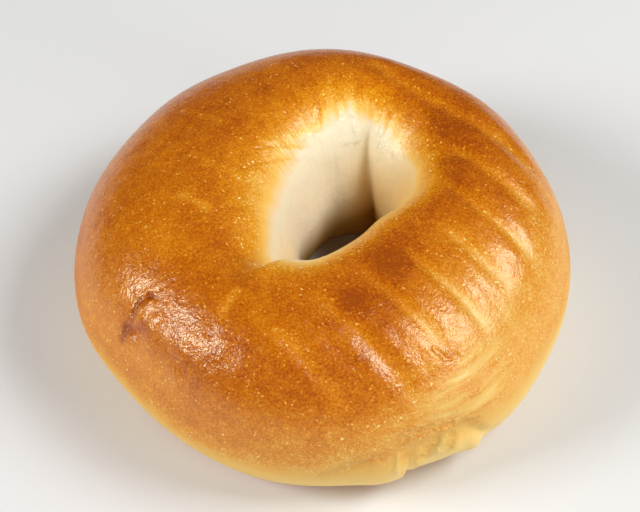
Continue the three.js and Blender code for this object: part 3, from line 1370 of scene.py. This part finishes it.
@dataclass
class Bagel:
    """The one piece: a ring of dough with its marks, its bake and its finish."""

    ring: DoughRing = field(default_factory=DoughRing)
    marks: Marks = field(default_factory=Marks)
    crust: CrustMap = field(default_factory=CrustMap)
    finish: CrustFinish = field(default_factory=CrustFinish)
    crinkles: Clouds = Clouds(4.2, 9.0, 2)
    crinkle_height: float = 0.28
    columns: int = 520
    rows: int = 190
    top_crowding: float = 0.35
    spun_radius: float = 2.0
    weld_distance: float = 1e-5

    def build(self) -> bpy.types.Object:
        """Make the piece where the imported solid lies.

        Returns:
            The bagel's skin in the scene.
        """
        mesh = self._spun_ring()
        spots = self._spots(mesh)
        around = direction(spots)
        outwards = np.hypot(spots[:, 0], spots[:, 1]) - self.spun_radius
        even = np.arctan2(spots[:, 2], outwards)
        across = np.mod(even + self.top_crowding * np.cos(even), 2 * math.pi)

        plain = self.ring.points(around, across)
        self._place(mesh, plain)
        points = self._marked(plain, self._normals(mesh))
        self._place(mesh, points)
        grooves = self.marks.paleness(points, self._normals(mesh))
        skin = Skin(points, around, np.degrees(across) - THROAT, grooves)
        for name, values in self.crust.over(skin).items():
            self._carry(mesh, name, values)

        low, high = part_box("bagel")
        self._stand(mesh, low, high)
        mesh.shade_smooth()
        mesh.materials.append(self.finish.build())
        piece = bpy.data.objects.new("bagel_skin", mesh)
        bpy.context.scene.collection.objects.link(piece)
        return piece

    def _spun_ring(self) -> bpy.types.Mesh:
        """Spin a round profile of radius 1 into a closed ring.

        Returns:
            The ring's mesh.
        """
        shape = bmesh.new()
        made = bmesh.ops.create_circle(shape, segments=self.rows, radius=1.0)
        upright = Vector((0, -1, 0)).rotation_difference(Vector((0, 0, 1))).to_matrix()
        bmesh.ops.rotate(shape, verts=made["verts"], matrix=upright)
        bmesh.ops.translate(shape, verts=made["verts"], vec=(self.spun_radius, 0, 0))
        bmesh.ops.spin(
            shape,
            geom=list(shape.edges),
            axis=(0, 0, 1),
            angle=2 * math.pi,
            steps=self.columns,
            use_merge=True,
        )
        bmesh.ops.remove_doubles(shape, verts=shape.verts, dist=self.weld_distance)
        bmesh.ops.recalc_face_normals(shape, faces=shape.faces)
        mesh = bpy.data.meshes.new("bagel_skin")
        shape.to_mesh(mesh)
        shape.free()
        return mesh

    def _marked(self, plain: Array, normals: Array) -> Array:
        """Press the marks into the plain ring.

        Args:
            plain: The ring's points.
            normals: Its outward normals there.

        Returns:
            The skin's points, none of them under the base.
        """
        relief = self.marks.height(plain, normals, self.ring.outer_radius)
        crinkles = self.crust.wrinkle(plain) * self.crinkles.over(plain)
        relief = relief + self.crinkle_height * crinkles
        points = plain + normals * relief[:, None]
        points[:, 2] = np.maximum(points[:, 2], 0.0)
        return points

    @staticmethod
    def _rows(items: bpy.types.bpy_prop_collection, name: str) -> Array:
        """Read a vector of every item.

        Args:
            items: The mesh's points or its normals there.
            name: What the vector is called in Blender.

        Returns:
            One row of X, Y and Z for each item.
        """
        flat = np.empty(3 * len(items))
        items.foreach_get(name, flat)
        return flat.reshape(-1, 3)

    def _spots(self, mesh: bpy.types.Mesh) -> Array:
        """Read the mesh's points."""
        return self._rows(mesh.vertices, "co")

    def _normals(self, mesh: bpy.types.Mesh) -> Array:
        """Read the outward normals at the mesh's points."""
        return self._rows(mesh.vertex_normals, "vector")

    @staticmethod
    def _place(mesh: bpy.types.Mesh, points: Array) -> None:
        """Move the mesh's points."""
        mesh.vertices.foreach_set("co", points.ravel())
        mesh.update()

    @staticmethod
    def _carry(mesh: bpy.types.Mesh, name: str, values: Array) -> None:
        """Store a number at every point for the finish to read."""
        layer = mesh.attributes.new(name, "FLOAT", "POINT")
        layer.data.foreach_set("value", values.astype(np.float32))

    def _stand(self, mesh: bpy.types.Mesh, low: Vector, high: Vector) -> None:
        """Bring the mesh to metres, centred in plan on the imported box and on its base.

        Args:
            mesh: The mesh in millimetres.
            low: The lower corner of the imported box.
            high: Its upper corner.
        """
        points = self._spots(mesh) * MM
        middle = (points.min(axis=0) + points.max(axis=0)) / 2
        points[:, 0] += (low.x + high.x) / 2 - middle[0]
        points[:, 1] += (low.y + high.y) / 2 - middle[1]
        points[:, 2] += low.z - points[:, 2].min()
        self._place(mesh, points)


# ---- The studio ----


@dataclass(frozen=True)
class Softbox:
    """A square light aimed at the bagel, which shows as a highlight only if it is mirrored."""

    name: str
    heading: Triple
    distance: float
    width: float
    watts: float
    mirrored: bool = True

    def build(self, target: Vector) -> bpy.types.Object:
        """Hang the light.

        Args:
            target: The place that it looks at.

        Returns:
            The light.
        """
        data = bpy.data.lights.new(self.name, "AREA")
        data.shape = "SQUARE"
        data.size = self.width
        data.energy = self.watts
        lamp = bpy.data.objects.new(self.name, data)
        lamp.visible_glossy = self.mirrored
        towards = Vector(self.heading).normalized()
        lamp.location = target + towards * self.distance
        lamp.rotation_euler = towards.to_track_quat("Z", "Y").to_euler()
        bpy.context.scene.collection.objects.link(lamp)
        return lamp


@dataclass
class Studio:
    """A pale floor, soft lights and the camera.

    The floor and the lights are placed in metres, and the camera in millimetres.
    """

    elevation: float = 50.0
    distance: float = 439.5
    target: Triple = (-0.5, 15.56, 0.0)
    lens: float = 102.1
    sensor: float = 36.0
    clip: float = 0.01
    floor_width: float = 4.0
    floor_gap: float = 0.0002
    floor_colour: Triple = (0.785, 0.785, 0.78)
    floor_roughness: float = 0.6
    ambient: float = 0.05
    ambient_colour: Triple = (1.0, 0.99, 0.98)
    lit_place: Triple = (0.0, 0.0, 0.02)
    lights: Sequence[Softbox] = (
        Softbox("key_light", (0.67, -0.05, 0.74), 1.0, 0.44, 7.1),
        Softbox("side_light", (-0.80, -0.22, 0.56), 1.0, 0.38, 6.9),
        Softbox("low_light", (0.80, -0.55, 0.24), 1.0, 0.24, 2.0),
        Softbox("front_fill", (0.10, -0.90, 0.42), 1.2, 1.20, 3.0, mirrored=False),
        Softbox("back_fill", (0.10, 0.80, 0.60), 1.2, 1.20, 1.5, mirrored=False),
    )

    def build(self) -> None:
        """Set up the floor, the lights, the world and the camera."""
        self._floor()
        for light in self.lights:
            light.build(Vector(self.lit_place))
        self._world()
        self._camera()
        bpy.context.scene.view_settings.view_transform = "Standard"

    def _floor(self) -> None:
        """Lay the floor just under the bagel."""
        shape = bmesh.new()
        bmesh.ops.create_grid(shape, x_segments=1, y_segments=1, size=self.floor_width / 2)
        bmesh.ops.translate(shape, verts=shape.verts, vec=(0, 0, -self.floor_gap))
        mesh = bpy.data.meshes.new("floor")
        shape.to_mesh(mesh)
        shape.free()
        graph = Graph("floor_paper")
        look = {"Base Color": (*self.floor_colour, 1.0), "Roughness": self.floor_roughness}
        shader = graph.node("ShaderNodeBsdfPrincipled", None, look)
        graph.node("ShaderNodeOutputMaterial", None, {"Surface": shader})
        mesh.materials.append(graph.material)
        floor = bpy.data.objects.new("floor", mesh)
        bpy.context.scene.collection.objects.link(floor)

    def _world(self) -> None:
        """Light the surroundings evenly."""
        world = bpy.data.worlds.new("studio")
        world.use_nodes = True
        background = world.node_tree.nodes["Background"]
        background.inputs["Color"].default_value = (*self.ambient_colour, 1.0)
        background.inputs["Strength"].default_value = self.ambient
        bpy.context.scene.world = world

    def _camera(self) -> None:
        """Put up the camera, which looks at its target from the front and above."""
        data = bpy.data.cameras.new("camera")
        data.lens = self.lens
        data.sensor_width = self.sensor
        data.clip_start = self.clip
        tilt = math.radians(self.elevation)
        back = Vector((0, -math.cos(tilt), math.sin(tilt)))
        camera = bpy.data.objects.new("camera", data)
        camera.location = (Vector(self.target) + back * self.distance) * MM
        camera.rotation_euler = back.to_track_quat("Z", "Y").to_euler()
        bpy.context.scene.collection.objects.link(camera)
        bpy.context.scene.camera = camera


def main() -> None:
    """Build the bagel and its studio, and report each piece."""
    logging.basicConfig(level=logging.INFO, format="%(name)s: %(message)s")
    Studio().build()
    log.info("studio ready")
    piece = Bagel().build()
    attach(piece, "root")
    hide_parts("bagel")
    log.info("bagel skin: %d faces", len(piece.data.polygons))


if __name__ == "__main__":
    main()
